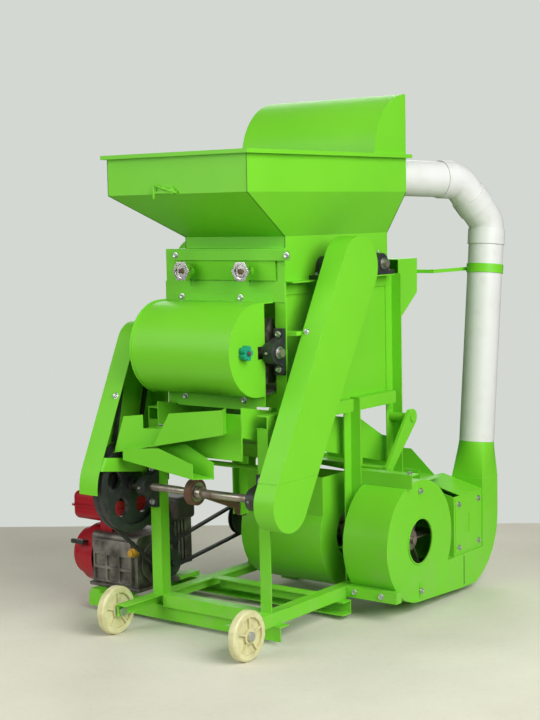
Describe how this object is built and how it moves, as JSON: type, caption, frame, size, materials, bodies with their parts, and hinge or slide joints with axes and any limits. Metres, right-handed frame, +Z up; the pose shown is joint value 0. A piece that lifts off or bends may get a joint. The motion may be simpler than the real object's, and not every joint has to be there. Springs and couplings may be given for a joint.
{
  "type": "peanut sheller",
  "caption": "Engine-driven peanut sheller on an angle-iron frame: hopper, beater drums, swinging sieve, fans and a white lift pipe that returns unshelled nuts.",
  "frame": {"origin": "middle of the outline seen from above, on the floor", "axes": "X to the right of the machine, Y to its rear, Z up"},
  "size_m": [1.081, 1.4136, 1.668],
  "materials": {
    "green_paint": "gloss lime-green spray paint over welded sheet",
    "white_pipe": "plain white pipe",
    "wheel_nylon": "cream moulded plastic",
    "black_iron": "black coated casting",
    "bare_steel": "turned steel with light rust",
    "brown_iron": "rusty casting",
    "engine_red": "gloss red paint",
    "engine_grey": "rough die casting",
    "belt_rubber": "matt black rubber",
    "chrome": "bright plated",
    "teal_plastic": "moulded knob",
    "zinc": "zinc plated"
  },
  "bodies": {
    "frame": {"base_frame": "green_paint", "posts": "green_paint", "side_bars": "green_paint", "engine_rails": "green_paint", "wheel_axles": "zinc", "body_panels": "green_paint", "neck": "green_paint", "white_pipe": "white_pipe", "hopper": "green_paint", "hopper_hood": "green_paint", "front_plate": "green_paint", "drum_cover": "green_paint", "concaves": "bare_steel", "pillow_blocks": "black_iron", "winnower_casing": "green_paint", "blower_casing": "green_paint", "blower_bars": "green_paint", "feed_box": "green_paint", "feed_box_lid": "green_paint", "lift_duct": "green_paint", "return_chute": "green_paint", "pipe_strap": "green_paint", "rear_spout": "green_paint", "right_guard": "green_paint", "left_guard": "green_paint", "rear_belt_guard": "green_paint", "guard_straps": "green_paint", "hanger_pins": "green_paint", "engine_block": "engine_grey", "engine_cylinder": "engine_grey", "recoil_cover": "engine_red", "fuel_tank": "engine_red", "muffler": "black_iron", "drive_belts": "belt_rubber", "bolts": "zinc"},
    "upper_drum": {"upper_drum": "bare_steel", "upper_drum_pulleys": "black_iron"},
    "rear_drum": {"rear_drum": "bare_steel", "rear_drum_pulley": "black_iron"},
    "front_drum": {"front_drum": "bare_steel", "front_drum_pulley": "black_iron"},
    "counter_shaft": {"counter_shaft": "bare_steel", "counter_pulleys": "black_iron"},
    "fan_rotor": {"fan_shaft": "bare_steel", "fan_wheels": "green_paint", "fan_pulley": "black_iron"},
    "engine_crank": {"engine_pulley": "black_iron"},
    "connecting_rod": {"connecting_rod": "brown_iron"},
    "sieve": {"sieve_box": "green_paint", "sieve_deck": "bare_steel", "kernel_trough": "green_paint", "fines_chute": "green_paint"},
    "rear_hangers": {"rear_hangers": "green_paint"},
    "front_hangers": {"front_hangers": "green_paint"},
    "wheel_left": {"wheel_left": "wheel_nylon"},
    "wheel_right": {"wheel_right": "wheel_nylon"},
    "feed_gate": {"feed_gate": "green_paint"},
    "hand_nut_left": {"hand_nut_left": "chrome"},
    "hand_nut_right": {"hand_nut_right": "chrome"},
    "star_knob": {"star_knob": "teal_plastic"}
  },
  "joints": [
    {"name": "upper_drum_spin", "type": "hinge", "parent": "frame", "child": "upper_drum", "pos_m": [0.1155, -0.13678, 1.1205], "axis": [1, 0, 0], "continuous": true},
    {"name": "rear_drum_spin", "type": "hinge", "parent": "frame", "child": "rear_drum", "pos_m": [0.1155, 0.15822, 1.1205], "axis": [1, 0, 0], "continuous": true},
    {"name": "front_drum_spin", "type": "hinge", "parent": "frame", "child": "front_drum", "pos_m": [0.1155, -0.41828, 0.878], "axis": [1, 0, 0], "continuous": true},
    {"name": "counter_spin", "type": "hinge", "parent": "frame", "child": "counter_shaft", "pos_m": [0.1155, -0.51828, 0.45], "axis": [1, 0, 0], "continuous": true},
    {"name": "fan_spin", "type": "hinge", "parent": "frame", "child": "fan_rotor", "pos_m": [0.1155, 0.09022, 0.233], "axis": [1, 0, 0], "continuous": true},
    {"name": "crank_spin", "type": "hinge", "parent": "frame", "child": "engine_crank", "pos_m": [0.1155, -0.34178, 0.162], "axis": [1, 0, 0], "continuous": true},
    {"name": "rod_turn", "type": "hinge", "parent": "counter_shaft", "child": "connecting_rod", "pos_m": [0.1155, -0.51328, 0.45], "axis": [1, 0, 0], "continuous": true},
    {"name": "rear_hanger_swing", "type": "hinge", "parent": "frame", "child": "rear_hangers", "pos_m": [0.1155, 0.24822, 0.606], "axis": [1, 0, 0], "range_deg": [-1.4, 1.4]},
    {"name": "front_hanger_swing", "type": "hinge", "parent": "frame", "child": "front_hangers", "pos_m": [0.1155, -0.18978, 0.659], "axis": [1, 0, 0], "range_deg": [-1.4, 1.4]},
    {"name": "sieve_level", "type": "hinge", "parent": "rear_hangers", "child": "sieve", "pos_m": [0.1155, 0.10622, 0.453], "axis": [1, 0, 0], "range_deg": [-1.4, 1.4]},
    {"name": "wheel_left_spin", "type": "hinge", "parent": "frame", "child": "wheel_left", "pos_m": [0.1155, -0.63178, 0.075], "axis": [1, 0, 0], "continuous": true},
    {"name": "wheel_right_spin", "type": "hinge", "parent": "frame", "child": "wheel_right", "pos_m": [0.1155, -0.63178, 0.075], "axis": [1, 0, 0], "continuous": true},
    {"name": "gate_slide", "type": "slide", "parent": "frame", "child": "feed_gate", "axis": [0, 0, 1], "range_m": [-0.04, 0]},
    {"name": "nut_left_spin", "type": "hinge", "parent": "feed_gate", "child": "hand_nut_left", "pos_m": [-0.0065, -0.43978, 1.118], "axis": [0, 1, 0], "continuous": true},
    {"name": "nut_right_spin", "type": "hinge", "parent": "feed_gate", "child": "hand_nut_right", "pos_m": [0.2255, -0.43978, 1.118], "axis": [0, 1, 0], "continuous": true},
    {"name": "knob_spin", "type": "hinge", "parent": "frame", "child": "star_knob", "pos_m": [0.1155, -0.53578, 0.885], "axis": [1, 0, 0], "continuous": true}
  ],
  "couplings": [
    {"joint": "rear_drum_spin", "follows": "upper_drum_spin", "ratio": 1},
    {"joint": "counter_spin", "follows": "upper_drum_spin", "ratio": 1.129},
    {"joint": "front_drum_spin", "follows": "upper_drum_spin", "ratio": 1.0562},
    {"joint": "crank_spin", "follows": "upper_drum_spin", "ratio": 3.7634},
    {"joint": "fan_spin", "follows": "upper_drum_spin", "ratio": 2.8226},
    {"joint": "rod_turn", "follows": "upper_drum_spin", "ratio": -1.129},
    {"joint": "front_hanger_swing", "follows": "rear_hanger_swing", "ratio": 1},
    {"joint": "sieve_level", "follows": "rear_hanger_swing", "ratio": -1}
  ]
}
